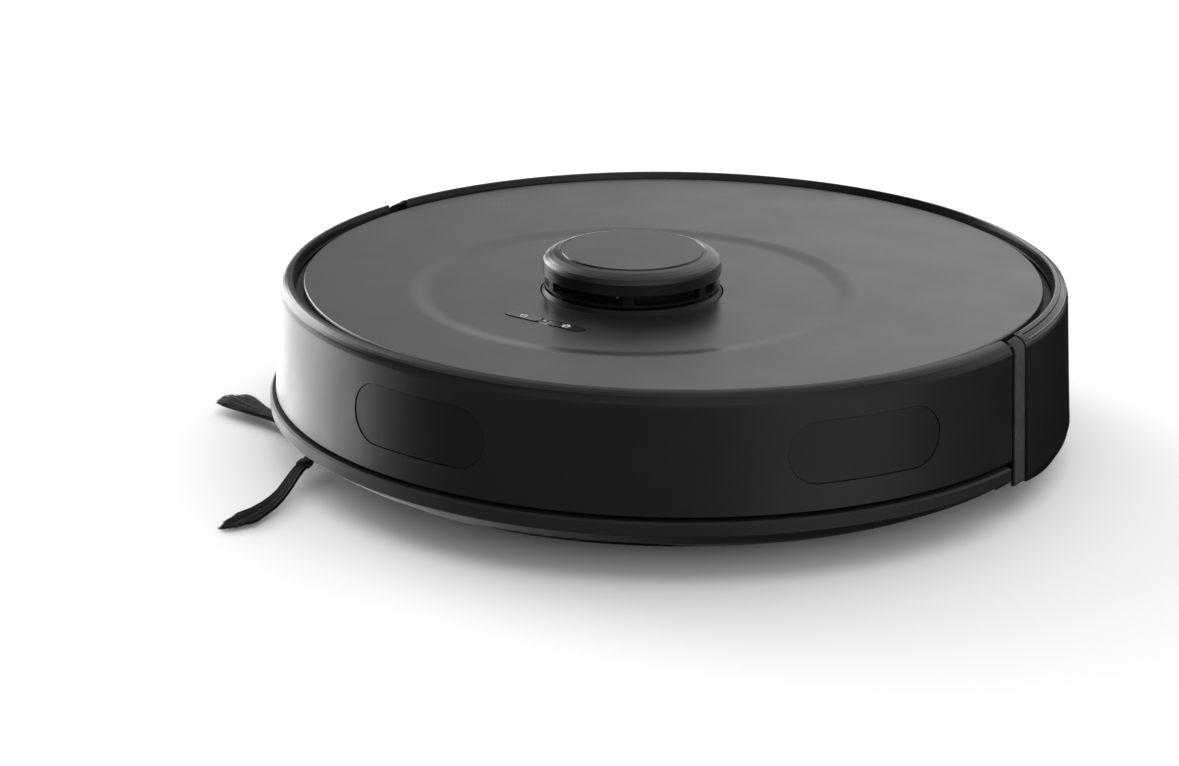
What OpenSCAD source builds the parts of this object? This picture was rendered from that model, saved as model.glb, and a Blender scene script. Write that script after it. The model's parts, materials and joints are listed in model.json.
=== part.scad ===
// Round robot vacuum cleaner with a spinning range-finder turret.
// Millimetres, +Z up. The origin is on the body's axis at floor level.
// The robot drives towards -Y, and its left side is +X.

/* [Body] */
// Radius of the skirt, the widest part of the body
skirt_r = 175; // [174.5:0.1:175.5]
// Height of the rim around the lid
rim_top = 76; // [75.5:0.1:76.5]
// Height of the underside above the floor
ground_gap = 9; // [8.5:0.1:9.5]
// Thickness of the base plate
plate_t = 2.5; // [2:0.1:3]
// Thickness of the bumper and rear housing walls
wall_t = 3; // [2.6:0.1:3.2]
// Angle of the gap between the bumper's ends and the rear housing, in degrees
end_gap = 4; // [3:0.5:5]

/* [Bumper] */
// How far the bumper slides back when it is pushed
bumper_travel = 2.5; // [2:0.1:2.5]
// Width of each sensor window
window_w = 68; // [60:1:72]
// Height of each sensor window
window_h = 25.5; // [22:0.5:27]
// Angle of the side windows from straight ahead, in degrees
window_turn = 63.3; // [60:0.1:66]

/* [Lid] */
// Radius of the lid
lid_r = 159.6; // [159:0.1:159.8]
// Height of the lid's top face
lid_top = 74; // [73.5:0.1:74.2]
// Radius of the shallow dish around the turret
dish_r = 96; // [90:1:100]
// Distance of the buttons ahead of the body's axis
button_y = 88; // [87:1:91]

/* [Turret] */
// Distance of the turret ahead of the body's axis
turret_y = 29; // [28:0.5:30]
// Radius of the turret's cap
turret_r = 38; // [37:0.5:38.5]
// Height of the turret's top face
turret_top = 91; // [90.5:0.1:92]

/* [Wheels] */
// Radius of a drive wheel
wheel_r = 32; // [31:0.5:32]
// Width of a drive wheel
wheel_w = 18; // [16:0.5:19]
// Distance of a drive wheel's middle from the body's axis
wheel_x = 109; // [108:0.5:110]
// Radius of the caster wheel
caster_r = 13; // [12:0.5:13]

/* [Brushes] */
// Distance of the roller brush behind the body's axis
roller_y = 28; // [27:0.5:29]
// Radius of the roller brush to the tips of its blades
roller_r = 20; // [18:0.5:20]
// Length of the roller brush
roller_len = 160; // [150:1:162]
// Length of a side brush arm, from its axis to the bristle tips
brush_len = 93; // [85:1:95]

/* [Hidden] */
$fn = 96;
e = 0.01;

// Heights of the stack from the floor up
plate_top = ground_gap + plate_t;
skirt_top = 25.2;
bumper_low = 26.7;
deck_top = 70;
deck_low = deck_top - 2.4;
rim_round = 6;

// Radii of the shell: the wall leans in towards the rim
wall_low_r = skirt_r - 2.6;
wall_high_r = skirt_r - 4.9;
lip_r = 162.8;
frame_r = 163;
frame_in_r = 160.5;
rim_seam_r = 166.3;
tongue_r = wall_high_r - wall_t - 0.5;

// Places of the working units, seen from above
battery_box = [[-62, -84], [62, -30]];
battery_top = 46;
bin_box = [[-80, 58], [64, 136]];
bin_floor = 22;
bin_top = 66;
fan_pos = [100, 84];
fan_r = 27;
caster_pos = [0, -122];
caster_trail = 6;
side_brush_pos = [-93.6, -112];
side_brush_turn = 46.5;
lidar_motor_x = 46;
post_r = 38;
plate_under = 55;
dish_depth = 0.8;
dish_slope = 11;
cap_low = lid_top + 7.6;
inlay_r = 30;
pivot_y = -48;
pivot_z = 36;
spring_low = 53;
arm_x = [88, 97];
roller_z = 1 + roller_r;
roller_motor_z = 56.5;
roller_drive_x = [88.5, 92.5];
tunnel_r = 23;
roller_core_r = 11;
pulley_big = 24;
pulley_small = 4;
pulley_roller = 8;
clear = 0.3;

// Angles of what repeats around the body, with the bumper's middle at -90
slide_gap = (bumper_travel + 0.8) / skirt_r * 180 / PI;
skirt_end = 1.5;
window_turns = [0, window_turn, -window_turn];
switch_angles = [-90 - 40, -90 + 40];
spring_angles = [-90 - 30, -90 + 30];
vent_angles = [for (k = [0:8]) 36 + 2.4 * k];

// Angles of what repeats around the turret
pin_angles = [15, 135, 255];
post_angles = [60, 180, 300];
cage_angles = [0, 55, 120, 180, 240, 305];

// Places of the small parts in the underside
cliff_places = [[-50, -134], [50, -134], [-138.5, -34], [138.5, -34]];
screw_places = [[-118, -80], [118, -80], [-120, 62], [140, 46], [-60, 143], [60, 143]];
door_screw_places = [[-58, -57.5], [58, -57.5]];
contact_places = [[-34, 148], [34, 148]];
guard_bars = [-52, 0, 52];

// Colours
shell_black = [0.06, 0.06, 0.065];
lid_grey = [0.2, 0.2, 0.21];
inner_grey = [0.13, 0.13, 0.135];
rubber_black = [0.04, 0.04, 0.04];
steel = [0.7, 0.7, 0.72];
board_green = [0.05, 0.25, 0.12];
brass_gold = [0.75, 0.6, 0.3];

// ---------- shared shapes ----------

// Outer radius of the drafted wall at height z
function wall_r(z) =
    wall_low_r + (wall_high_r - wall_low_r) * (z - bumper_low) / (rim_top - rim_round - bumper_low);

// Points on an arc about c, from angle a to angle b
function arc(c, r, a, b, n = 8) =
    [for (i = [0:n]) c + r * [cos(a + (b - a) * i / n), sin(a + (b - a) * i / n)]];

// Cross-section of the shell from height low up over the rim
function shell_outline(low) = concat(
    [[wall_r(low) - wall_t, low], [wall_r(low), low]],
    arc([wall_high_r - rim_round, rim_top - rim_round], rim_round, 0, 90),
    [[lip_r + 0.4, deck_top + 1.9], [lip_r, deck_top + 1.2],
     [wall_high_r - wall_t, deck_top + 1.2], [wall_high_r - wall_t, rim_top - rim_round]]);

// Sweeps a cross-section from angle a through angle span
module sweep(a, span) {
    rotate([0, 0, a]) rotate_extrude(angle = span, $fn = 180) children();
}

// A box between two corners
module block(low, high) {
    translate(low) cube(high - low);
}

// A flat outline with rounded corners, between two corners
module rounded(low, high, r) {
    for (x = [low[0] + r, high[0] - r], y = [low[1] + r, high[1] - r])
        translate([x, y]) circle(r, $fn = 32);
    translate([low[0] + r, low[1]]) square([high[0] - low[0] - 2 * r, high[1] - low[1]]);
    translate([low[0], low[1] + r]) square([high[0] - low[0], high[1] - low[1] - 2 * r]);
}

// A ring between radii a and b, from height low to high
module ring(a, b, low, high) {
    translate([0, 0, low]) difference() {
        cylinder(r = b, h = high - low);
        translate([0, 0, -1]) cylinder(r = a, h = high - low + 2);
    }
}

// A rod along X
module rod_x(r, from, to) {
    translate([from, 0, 0]) rotate([0, 90, 0]) cylinder(r = r, h = to - from, $fn = 48);
}

// The flat outline of a belt around two pulleys, the second at distance d along X
module belt_outline(r1, r2, d) {
    t = acos((r1 - r2) / d);
    polygon(concat(arc([0, 0], r1, t, 360 - t, 36), arc([d, 0], r2, -t, t, 18)));
}

module belt(r1, r2, d, h) {
    linear_extrude(h) difference() {
        belt_outline(r1 + clear + 1, r2 + clear + 1, d);
        belt_outline(r1 + clear, r2 + clear, d);
    }
}

// A coil spring along Z drawn as a corrugated sleeve
module coil(r, wire, turns, len) {
    rotate_extrude($fn = 48) {
        for (i = [0:turns - 1])
            translate([r, wire + (len - 2 * wire) * i / (turns - 1)]) circle(wire, $fn = 16);
        translate([r - wire / 3, wire]) square([wire * 2 / 3, len - 2 * wire]);
    }
}

// A stadium-shaped prism that points outwards along the radius at angle a
module pill_prism(a, w, h) {
    rotate([0, 0, a]) translate([wall_low_r - 15, 0, 50]) rotate([90, 0, 90])
        linear_extrude(30) {
            square([w - h, h], center = true);
            for (s = [-1, 1]) translate([s * (w - h) / 2, 0]) circle(d = h, $fn = 48);
        }
}

// Cone-sided sleeve parallel to the wall, between depths a and b below its face
module wall_sleeve(turn, a, b) {
    sweep(turn - 16, 32) polygon([
        [wall_r(30) - b, 30], [wall_r(30) - a, 30], [wall_r(68) - a, 68], [wall_r(68) - b, 68]]);
}

// Mirrors its children to the other side as well
module both_sides() {
    children();
    mirror([1, 0, 0]) children();
}

// ---------- body ----------

module base_section() {
    polygon([[0, ground_gap], [158, ground_gap], [165.5, 13], [165.5, skirt_top],
             [162.5, skirt_top], [162.5, 14.5], [157, plate_top], [0, plate_top]]);
}

module skirt_section() {
    polygon([[165, 12.73], [skirt_r - 0.4, 19.2], [skirt_r, 19.7], [skirt_r, skirt_top - 0.9],
             [skirt_r - 0.9, skirt_top], [165, skirt_top]]);
}

module wheel_opening() {
    translate([wheel_x, 0, 0])
        block([-wheel_w / 2 - 2, -wheel_r - 4, 0], [wheel_w / 2 + 2, wheel_r + 4, plate_top + 1]);
    block([arm_x[0] - 1.5, pivot_y - 10, 0], [arm_x[1] + 2, 22, plate_top + 1]);
}

module base_openings() {
    both_sides() wheel_opening();
    block([-86, 6, 0], [86, 50, plate_top + 1]);
    linear_extrude(plate_top + 1) rounded([-66, -88], [66, -27], 5);
    translate(caster_pos) cylinder(r = 22, h = plate_top + 1);
    translate(side_brush_pos) cylinder(r = 6, h = plate_top + 1);
    for (p = cliff_places)
        translate(p) linear_extrude(plate_top + 1) rounded([-11, -6], [11, 6], 3);
    for (p = contact_places)
        translate(p) linear_extrude(plate_top + 1) rounded([-15, -5], [15, 5], 2);
    for (p = screw_places)
        translate(p) cylinder(r = 1.6, h = 20);
}

module base_chassis() {
    color(inner_grey) {
        difference() {
            union() {
                rotate_extrude($fn = 180) base_section();
                sweep(180 + skirt_end, 180 - 2 * skirt_end) skirt_section();
                for (p = screw_places)
                    translate([p[0], p[1], ground_gap]) cylinder(r = 4, h = 12, $fn = 32);
            }
            base_openings();
        }
        for (y = [76, 116])
            block([-66, y, plate_top - e], [50, y + 3, bin_floor - 0.2]);
    }
}

module battery_door() {
    color(shell_black) difference() {
        union() {
            translate([0, 0, ground_gap]) linear_extrude(plate_t)
                rounded([-65.7, -87.7], [65.7, -27.3], 4.7);
            for (x = [-54:18:54])
                block([x - 1, -83, ground_gap - 0.4], [x + 1, -66, ground_gap + e]);
        }
        for (p = door_screw_places)
            translate(p) cylinder(r = 1.6, h = 20, $fn = 32);
    }
}

module battery() {
    color([0.1, 0.2, 0.35]) translate([0, 0, plate_top + 0.5])
        linear_extrude(battery_top - plate_top - 0.5)
            rounded(battery_box[0], battery_box[1], 6);
}

module screw(h) {
    cylinder(r = 1.45, h = h, $fn = 32);
    difference() {
        cylinder(r = 2.8, h = 1.6, $fn = 32);
        translate([0, 0, -e]) cylinder(r = 1.3, h = 1, $fn = 6);
    }
}

module chassis_screws() {
    color(steel) {
        for (p = screw_places)
            translate([p[0], p[1], ground_gap - 1.6]) screw(11);
        for (p = door_screw_places)
            translate([p[0], p[1], ground_gap - 1.6]) screw(4.2);
    }
}

module mid_frame() {
    color(inner_grey) {
        difference() {
            translate([0, 0, deck_low]) cylinder(r = frame_r, h = deck_top - deck_low, $fn = 180);
            translate([0, -turret_y, deck_low - 1]) cylinder(r = 34.5, h = 5);
            block([bin_box[0][0] - 2, bin_box[0][1] - 2, deck_low - 1],
                  [bin_box[1][0] + 2, bin_box[1][1] + 2, deck_top + 1]);
            translate([0, -button_y, deck_low - 1]) linear_extrude(5) rounded([-21, -3.6], [21, 3.6], 3.5);
        }
        at_turret() for (a = post_angles) rotate([0, 0, a])
            translate([post_r, 0, plate_under + 2])
                cylinder(r = 2.5, h = deck_low + e - plate_under - 2, $fn = 32);
    }
}

module frame_wall() {
    color(inner_grey) difference() {
        ring(frame_in_r, frame_r, skirt_top, deck_low);
        for (a = switch_angles) rotate([0, 0, a]) block([155, -6, 40], [170, 6, 50]);
        for (a = vent_angles) rotate([0, 0, a]) block([155, -2, 31], [170, 2, 55]);
    }
}

module rear_outline() {
    polygon(concat(
        [[wall_low_r - 6.5, ground_gap - 0.5], [wall_low_r - 3, ground_gap - 1], [wall_low_r + 0.6, 14],
         [wall_low_r + 1.2, 17], [wall_low_r + 0.9, 20]],
        arc([wall_high_r - rim_round, rim_top - rim_round], rim_round, 0, 90),
        [[lip_r + 0.4, deck_top + 1.9], [lip_r, deck_top + 1.2],
         [wall_high_r - wall_t, deck_top + 1.2], [wall_high_r - wall_t, rim_top - rim_round],
         [wall_low_r - wall_t, bumper_low], [wall_low_r - wall_t, 14], [wall_low_r - 6.5, 11]]));
}

// Fills the ground that the housing's end rises clear of, on the +X side
module end_rise() {
    rotate([0, 0, end_gap + 8]) translate([wall_low_r, 0, 11.2]) rotate([-7.1, 0, 0])
        block([-20, -40, -20], [20, 60, 0]);
}

// What lies behind the gap at the bumper's end, on the +X side: a step just below the wall's
// face, a tongue that the bumper slides over, and the web between them
module housing_end() {
    step = 1.2;
    low = 14.4;
    high = deck_top + 0.4;
    sweep(slide_gap, end_gap - slide_gap + 0.2) polygon([
        [wall_r(low) - 2 * step, low], [wall_r(low) - step, low],
        [wall_r(high) - step, high], [wall_r(high) - 2 * step, high]]);
    sweep(-skirt_end + 0.2, end_gap + skirt_end + 1) polygon([
        [166, 14], [tongue_r + 1.4, 14], [tongue_r + 1.4, skirt_top + 0.6], [tongue_r, skirt_top + 0.6],
        [tongue_r, deck_top], [164.3, deck_top], [164.3, skirt_top + 0.4], [166, skirt_top + 0.4]]);
    sweep(end_gap, 1.4) translate([164.8, skirt_top + 1]) square([3.8, 62 - skirt_top - 1]);
}

module rear_housing() {
    color(shell_black) {
        difference() {
            sweep(end_gap, 180 - 2 * end_gap) rear_outline();
            both_sides() end_rise();
            sweep(end_gap + 1, 178 - 2 * end_gap)
                translate([rim_seam_r, rim_top - 1.2]) square([0.5, 3]);
            rotate([0, 0, 90]) block([150, -20.3, 39.7], [180, 20.3, 54.3]);
            for (a = vent_angles) rotate([0, 0, a]) block([150, -1.3, 32], [180, 1.3, 54]);
        }
        both_sides() {
            housing_end();
        }
    }
}

module dock_sensor_window() {
    color(shell_black) intersection() {
        sweep(70, 40) polygon([[wall_r(38) - 2.4, 38], [wall_r(38) - 0.5, 38],
                               [wall_r(56) - 0.5, 56], [wall_r(56) - 2.4, 56]]);
        rotate([0, 0, 90]) block([150, -20.1, 39.9], [180, 20.1, 54.1]);
    }
}

// ---------- bumper ----------

module bumper() {
    color(shell_black) {
        difference() {
            sweep(180, 180) polygon(shell_outline(bumper_low));
            for (t = window_turns) pill_prism(-90 + t, window_w, window_h);
        }
        for (a = concat(switch_angles, spring_angles))
            intersection() {
                sweep(a - 3, 6) polygon([
                    [wall_r(40) - wall_t - 1.6, 40], [wall_r(40) - wall_t + 0.5, 40],
                    [wall_r(50) - wall_t + 0.5, 50], [wall_r(40) - wall_t - 1.6, 50]]);
                rotate([0, 0, a]) block([150, -4, 40], [180, 4, 50]);
            }
    }
}

module ir_window(turn) {
    color([0.03, 0.02, 0.03]) {
        intersection() {
            wall_sleeve(-90 + turn, 0.4, wall_t + e);
            pill_prism(-90 + turn, window_w - 0.6, window_h - 0.6);
        }
        intersection() {
            wall_sleeve(-90 + turn, wall_t, wall_t + 0.9);
            pill_prism(-90 + turn, window_w + 5, window_h + 5);
        }
    }
}

module ir_window_front() { ir_window(window_turns[0]); }
module ir_window_left() { ir_window(window_turns[1]); }
module ir_window_right() { ir_window(window_turns[2]); }

module bumper_springs() {
    color(steel) for (a = spring_angles) rotate([0, 0, a])
        translate([frame_r + 0.05, 0, 45]) rotate([0, 90, 0]) coil(3, 0.35, 4, 3.8);
}

module bumper_switches() {
    color(shell_black) for (a = switch_angles) rotate([0, 0, a]) {
        block([148, -5, 41], [160.4, 5, 49]);
        translate([160.3, 0, 45]) rotate([0, 90, 0]) cylinder(r = 1.5, h = 3.2, $fn = 32);
    }
}

// ---------- lid and buttons ----------

module lid_section() {
    polygon(concat(
        [[0, lid_top - 2.1], [lid_r - 2.5, lid_top - 2.1], [lid_r - 2.5, deck_top], [lid_r, deck_top]],
        arc([lid_r - 1.2, lid_top - 1.2], 1.2, 0, 90, 4),
        [[0, lid_top]]));
}

// Half section of what the dish takes away; its edge eases in and out
module dish_cut() {
    steps = 8;
    polygon(concat(
        [[0, 1], [0, -dish_depth]],
        [for (i = [0:steps]) [dish_r - dish_slope * (1 - i / steps),
                              -dish_depth * (1 + cos(180 * i / steps)) / 2 + (i == steps ? e : 0)]],
        [[dish_r, 1]]));
}

module top_lid() {
    color(lid_grey) difference() {
        rotate_extrude($fn = 180) lid_section();
        translate([0, -turret_y, 0]) {
            cylinder(r = turret_r + 1.1, h = 100);
            translate([0, 0, lid_top]) rotate_extrude($fn = 180) dish_cut();
        }
        translate([0, -button_y, 60]) linear_extrude(20) rounded([-20.5, -3.1], [20.5, 3.1], 3);
    }
}

// One button, to the +X side of the middle
module button_cap() {
    translate([0, -button_y, 66]) {
        linear_extrude(lid_top - 66 - 0.5) rounded([2.4, -2.7], [20.1, 2.7], 2.6);
    }
}

module power_button() { color(shell_black) mirror([1, 0, 0]) button_cap(); }
module home_button() { color(shell_black) button_cap(); }

module status_light() {
    color([0.8, 0.8, 0.8]) translate([0, -button_y, 64])
        linear_extrude(lid_top - 64 - 0.6) rounded([-1.9, -2.4], [1.9, 2.4], 0.8);
    color([0.8, 0.8, 0.8]) translate([0, -button_y, 62])
        linear_extrude(2 + e) rounded([-23, -5], [23, 5], 2);
}

// ---------- turret ----------

module at_turret() {
    translate([0, -turret_y, 0]) children();
}

module turret_base() {
    color(shell_black) at_turret() difference() {
        rotate_extrude() polygon([[35, deck_top], [turret_r + 0.6, deck_top],
            [turret_r + 0.6, lid_top - 1.2], [turret_r - 0.5, lid_top + 1.1], [35, lid_top + 1.1]]);
        for (a = pin_angles) rotate([0, 0, a])
            translate([36.4, 0, deck_top + 1]) cylinder(r = 1.1, h = 20, $fn = 32);
    }
}

module turret_cage() {
    color(shell_black) at_turret() {
        ring(34.2, turret_r - 0.7, lid_top + 2.3, lid_top + 3.3);
        ring(34.2, turret_r - 0.7, cap_low + 0.6, lid_top + 11);
        for (a = cage_angles) rotate([0, 0, a])
            intersection() {
                ring(34.4, turret_r - 0.9, lid_top + 3.3 - e, cap_low + 0.6 + e);
                block([30, -2.2, 0], [40, 2.2, 100]);
            }
        for (a = pin_angles) rotate([0, 0, a])
            translate([36.4, 0, deck_top + 2.4])
                cylinder(r = 0.8, h = lid_top - deck_top, $fn = 32);
    }
}

module turret_cap() {
    color(lid_grey) at_turret() rotate_extrude() polygon([
        [0, turret_top], [inlay_r, turret_top], [inlay_r + 0.3, turret_top - 0.7],
        [inlay_r + 1.1, turret_top - 0.8], [inlay_r + 1.5, turret_top - 0.4],
        [turret_r - 4.5, turret_top - 0.9], [turret_r - 2.5, turret_top - 1.8],
        [turret_r - 1, turret_top - 2.8], [turret_r - 0.2, turret_top - 3.8],
        [turret_r, turret_top - 4.9], [turret_r, cap_low],
        [turret_r - 0.6, cap_low], [turret_r - 0.6, lid_top + 11], [33.4, lid_top + 11],
        [33.4, turret_top - 2.2], [0, turret_top - 2.2]]);
}

module lidar_rotor() {
    color(inner_grey) at_turret() difference() {
        union() {
            translate([0, 0, 57.4]) cylinder(r = 9.94, h = 6);
            translate([0, 0, 63]) cylinder(r = pulley_big, h = 3.6);
            translate([0, 0, 66.5]) cylinder(r = 22, h = 5);
            translate([0, 0, 71]) cylinder(r = 31, h = 13.5);
        }
        translate([0, 0, 73]) cylinder(r = 29, h = 10);
        for (x = [-11, 11])
            translate([x, -20, 78.6]) rotate([90, 0, 0]) cylinder(r = x < 0 ? 3.5 : 4.4, h = 15, $fn = 48);
    }
}

module lidar_lenses() {
    color([0.2, 0.05, 0.1]) at_turret() {
        for (x = [-11, 11])
            translate([x, -24, 78.6]) rotate([90, 0, 0]) {
                cylinder(r = x < 0 ? 3.5 : 4.4, h = 6.6, $fn = 48);
                translate([0, 0, -10]) cylinder(r = 4, h = 10 + e, $fn = 48);
            }
        block([-18, -16, 73], [18, 14, 76]);
    }
}

module lidar_plate() {
    color(inner_grey) at_turret() translate([0, 0, plate_under]) difference() {
        union() {
            cylinder(r = 34, h = 2);
            cylinder(r = 14, h = 7.5);
            translate([lidar_motor_x, 0, 0]) cylinder(r = 11, h = 2);
            block([20, -11, 0], [lidar_motor_x, 11, 2]);
            for (a = post_angles) rotate([0, 0, a]) {
                translate([post_r, 0, 0]) cylinder(r = 4, h = 2, $fn = 32);
                block([30, -4, 0], [post_r, 4, 2]);
            }
        }
        translate([0, 0, -1]) cylinder(r = 10, h = 20);
        translate([lidar_motor_x, 0, -1]) cylinder(r = 8.02, h = 20);
    }
}

module lidar_motor() {
    color(steel) at_turret() translate([lidar_motor_x, 0, 0]) {
        translate([0, 0, 47]) cylinder(r = 8, h = 14);
    }
}

module lidar_motor_pulley() {
    color(brass_gold) at_turret() translate([lidar_motor_x, 0, 0]) {
        translate([0, 0, 63]) cylinder(r = pulley_small, h = 3.6);
        translate([0, 0, 61.3]) cylinder(r = 1.2, h = 2, $fn = 32);
    }
}

module lidar_belt() {
    color(rubber_black) at_turret() translate([0, 0, 63.6])
        belt(pulley_big, pulley_small, lidar_motor_x, 2.4);
}

// ---------- side brush ----------

module at_side_brush() {
    translate([side_brush_pos[0], side_brush_pos[1], 0]) children();
}

module side_brush_hub() {
    color(inner_grey) at_side_brush() {
        difference() {
            rotate_extrude() polygon([[0, 2.6], [6, 2.6], [11, 4.2], [11, 7], [9, 8.4], [0, 8.4]]);
            translate([0, 0, 2]) cylinder(r = 2.8, h = 2, $fn = 32);
        }
        translate([0, 0, 8.3]) cylinder(r = 2.95, h = 8);
    }
}

// Arm k of the side brush, tipped down slightly towards the floor
module brush_arm(k) {
    rotate([0, 0, side_brush_turn + 120 * k]) translate([0, 0, 5]) rotate([0, 2.2, 0]) children();
}

module side_brush_arms() {
    color(rubber_black) at_side_brush() for (k = [0:2])
        brush_arm(k) linear_extrude(2.4) polygon([[11.2, -4], [11.2, 4], [34, 2.2], [34, -2.2]]);
}

module side_brush_bristles() {
    color(rubber_black) at_side_brush() for (k = [0:2])
        brush_arm(k) translate([0, 0, 0.2]) linear_extrude(1.8)
            polygon([[34, -1.8], [34, 1.8], [62, 2.2], [brush_len - 8, 7], [brush_len, 9],
                     [brush_len - 3, -6], [brush_len - 14, -3.5], [62, -2]]);
}

module side_brush_gearbox() {
    color(inner_grey) at_side_brush() difference() {
        union() {
            translate([0, 0, plate_top + 0.5]) cylinder(r = 11.5, h = 15.7);
            rotate([0, 0, 45]) {
                block([3, -10, plate_top + 1], [32, 10, 24]);
                translate([24, 0, 23]) cylinder(r = 9, h = 24);
            }
        }
        cylinder(r = 3, h = 20);
    }
}

// ---------- roller brush ----------

module at_roller() {
    translate([0, roller_y, roller_z]) children();
}

module roller_core() {
    half = roller_len / 2;
    color(inner_grey) at_roller() {
        rod_x(roller_core_r, -half, half);
        rod_x(2.96, -half - 5, 94);
    }
}

module roller_blades() {
    half = roller_len / 2 - 1;
    color([0.5, 0.12, 0.08]) at_roller() difference() {
        for (k = [0:5]) rotate([60 * k, 0, 0]) block([-half, -1, roller_core_r], [half, 1, roller_r - 0.5]);
        for (x = guard_bars) rod_x(roller_r + 1, x - 3, x + 3);
    }
}

module roller_bearings() {
    color(shell_black) at_roller() both_sides() difference() {
        rod_x(8, roller_len / 2 + 1, roller_len / 2 + 5);
        rod_x(3, 0, 100);
    }
}

module roller_pulley() {
    color(brass_gold) at_roller() difference() {
        rod_x(pulley_roller, roller_drive_x[0], roller_drive_x[1]);
        rod_x(2.96, 80, 100);
    }
}

module roller_motor_pulley() {
    color(brass_gold) translate([0, roller_y, roller_motor_z]) {
        rod_x(pulley_small, roller_drive_x[0], roller_drive_x[1]);
        rod_x(1.2, 86.4, roller_drive_x[0] + e);
    }
}

module roller_belt() {
    color(rubber_black) translate([roller_drive_x[0] + 0.6, roller_y, roller_z])
        rotate([0, -90, 180]) belt(pulley_roller, pulley_small, roller_motor_z - roller_z, 2.8);
}

module roller_motor() {
    color(steel) translate([0, roller_y, roller_motor_z]) {
        rod_x(9.6, 48, 86);
        rod_x(4, 44, 48.1);
    }
}

module brush_tunnel() {
    color(inner_grey) difference() {
        union() {
            at_roller() rod_x(tunnel_r + 2, -87.3, 87.3);
            block([-87.3, roller_y - tunnel_r - 2, plate_top + 0.1],
                  [87.3, roller_y + tunnel_r + 2, roller_z]);
        }
        at_roller() rod_x(tunnel_r, -85, 85);
        block([-85, roller_y - tunnel_r, -5], [85, roller_y + tunnel_r, roller_z]);
        block([-100, -60, -60], [100, 100, plate_top + 0.1]);
        block([-50, roller_y + 10, 25], [34, roller_y + 40, 40]);
        at_roller() rod_x(8, -87.4, -80);
        at_roller() rod_x(8, 80, 87.4);
        block([-87.4, roller_y - 8, 0], [-84, roller_y + 8, roller_z]);
        block([84, roller_y - 8, 0], [87.4, roller_y + 8, roller_z]);
    }
}

module brush_cover() {
    low = ground_gap - 1.2;
    color([0.09, 0.09, 0.09]) translate([0, 0, low]) {
        linear_extrude(plate_t + 0.6) difference() {
            rounded([-85.7, 6.3], [85.7, 49.7], 3);
            rounded([-82.5, 9.5], [82.5, 46.5], 3);
        }
        for (x = guard_bars) block([x - 1.25, 8, 0], [x + 1.25, 48, 1.4]);
    }
}

// ---------- drive wheels ----------

// Places the +X wheel module's parts; dir is 1 on the left and -1 on the right
module side(dir) {
    if (dir > 0) children();
    else mirror([1, 0, 0]) children();
}

module arm_shape() {
    difference() {
        union() {
            translate([0, wheel_r, 0]) circle(15);
            translate([pivot_y, pivot_z]) circle(7.5);
            translate([-14, 44]) circle(14);
            polygon([[pivot_y, pivot_z - 7], [0, wheel_r - 13], [0, wheel_r + 13],
                     [-14, 57], [pivot_y, pivot_z + 7]]);
        }
        translate([pivot_y, pivot_z]) circle(2.5, $fn = 32);
    }
}

module suspension_arm(dir) {
    color(inner_grey) side(dir) difference() {
        translate([arm_x[0], 0, 0]) rotate([90, 0, 90]) linear_extrude(arm_x[1] - arm_x[0]) arm_shape();
        translate([0, 0, wheel_r]) rod_x(4, 90, 98);
    }
}

module suspension_arm_left() { suspension_arm(1); }
module suspension_arm_right() { suspension_arm(-1); }

module wheel_rim(dir) {
    r = wheel_r - 5;
    inner = wheel_x - wheel_w / 2;
    color(inner_grey) side(dir) translate([0, 0, wheel_r]) difference() {
        union() {
            rod_x(r, inner, inner + wheel_w);
            rod_x(3.95, 91, inner + e);
        }
        difference() {
            rod_x(r - 3, inner + wheel_w - 6, inner + wheel_w + 1);
            rod_x(7, inner, inner + wheel_w + 2);
            for (k = [0:4]) rotate([72 * k, 0, 0])
                block([inner, -1.5, 0], [inner + wheel_w + 2, 1.5, r]);
        }
    }
}

module wheel_rim_left() { wheel_rim(1); }
module wheel_rim_right() { wheel_rim(-1); }

module wheel_tyre(dir) {
    r = wheel_r - 5;
    inner = wheel_x - wheel_w / 2;
    lugs = 20;
    color(rubber_black) side(dir) translate([0, 0, wheel_r]) {
        difference() {
            rod_x(wheel_r - 1.8, inner + 0.3, inner + wheel_w - 0.3);
            rod_x(r, inner - 1, inner + wheel_w + 1);
        }
        intersection() {
            difference() {
                rod_x(wheel_r, inner + 0.8, inner + wheel_w - 0.8);
                rod_x(wheel_r - 2, inner - 1, inner + wheel_w + 1);
            }
            for (k = [0:lugs - 1]) rotate([(k + 0.5) * 360 / lugs + 180 / lugs, 0, 0])
                block([inner, -2.9, 10], [inner + wheel_w, 2.9, 40]);
        }
    }
}

module wheel_tyre_left() { wheel_tyre(1); }
module wheel_tyre_right() { wheel_tyre(-1); }

module drive_motor(dir) {
    color(steel) side(dir) translate([0, -14, 44]) {
        rod_x(11.5, 64, arm_x[0]);
        rod_x(4, 61.5, 64.1);
    }
}

module drive_motor_left() { drive_motor(1); }
module drive_motor_right() { drive_motor(-1); }

module suspension_springs() {
    color(steel) both_sides() translate([92.5, -30, spring_low]) coil(4, 0.6, 5, deck_low - spring_low);
}

// ---------- caster ----------

module caster_socket() {
    color(inner_grey) translate(caster_pos) rotate_extrude() polygon([
        [22, plate_top], [25, plate_top], [25, 36], [10, 46], [4.05, 46], [4.05, 32], [22, 32]]);
}

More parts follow.
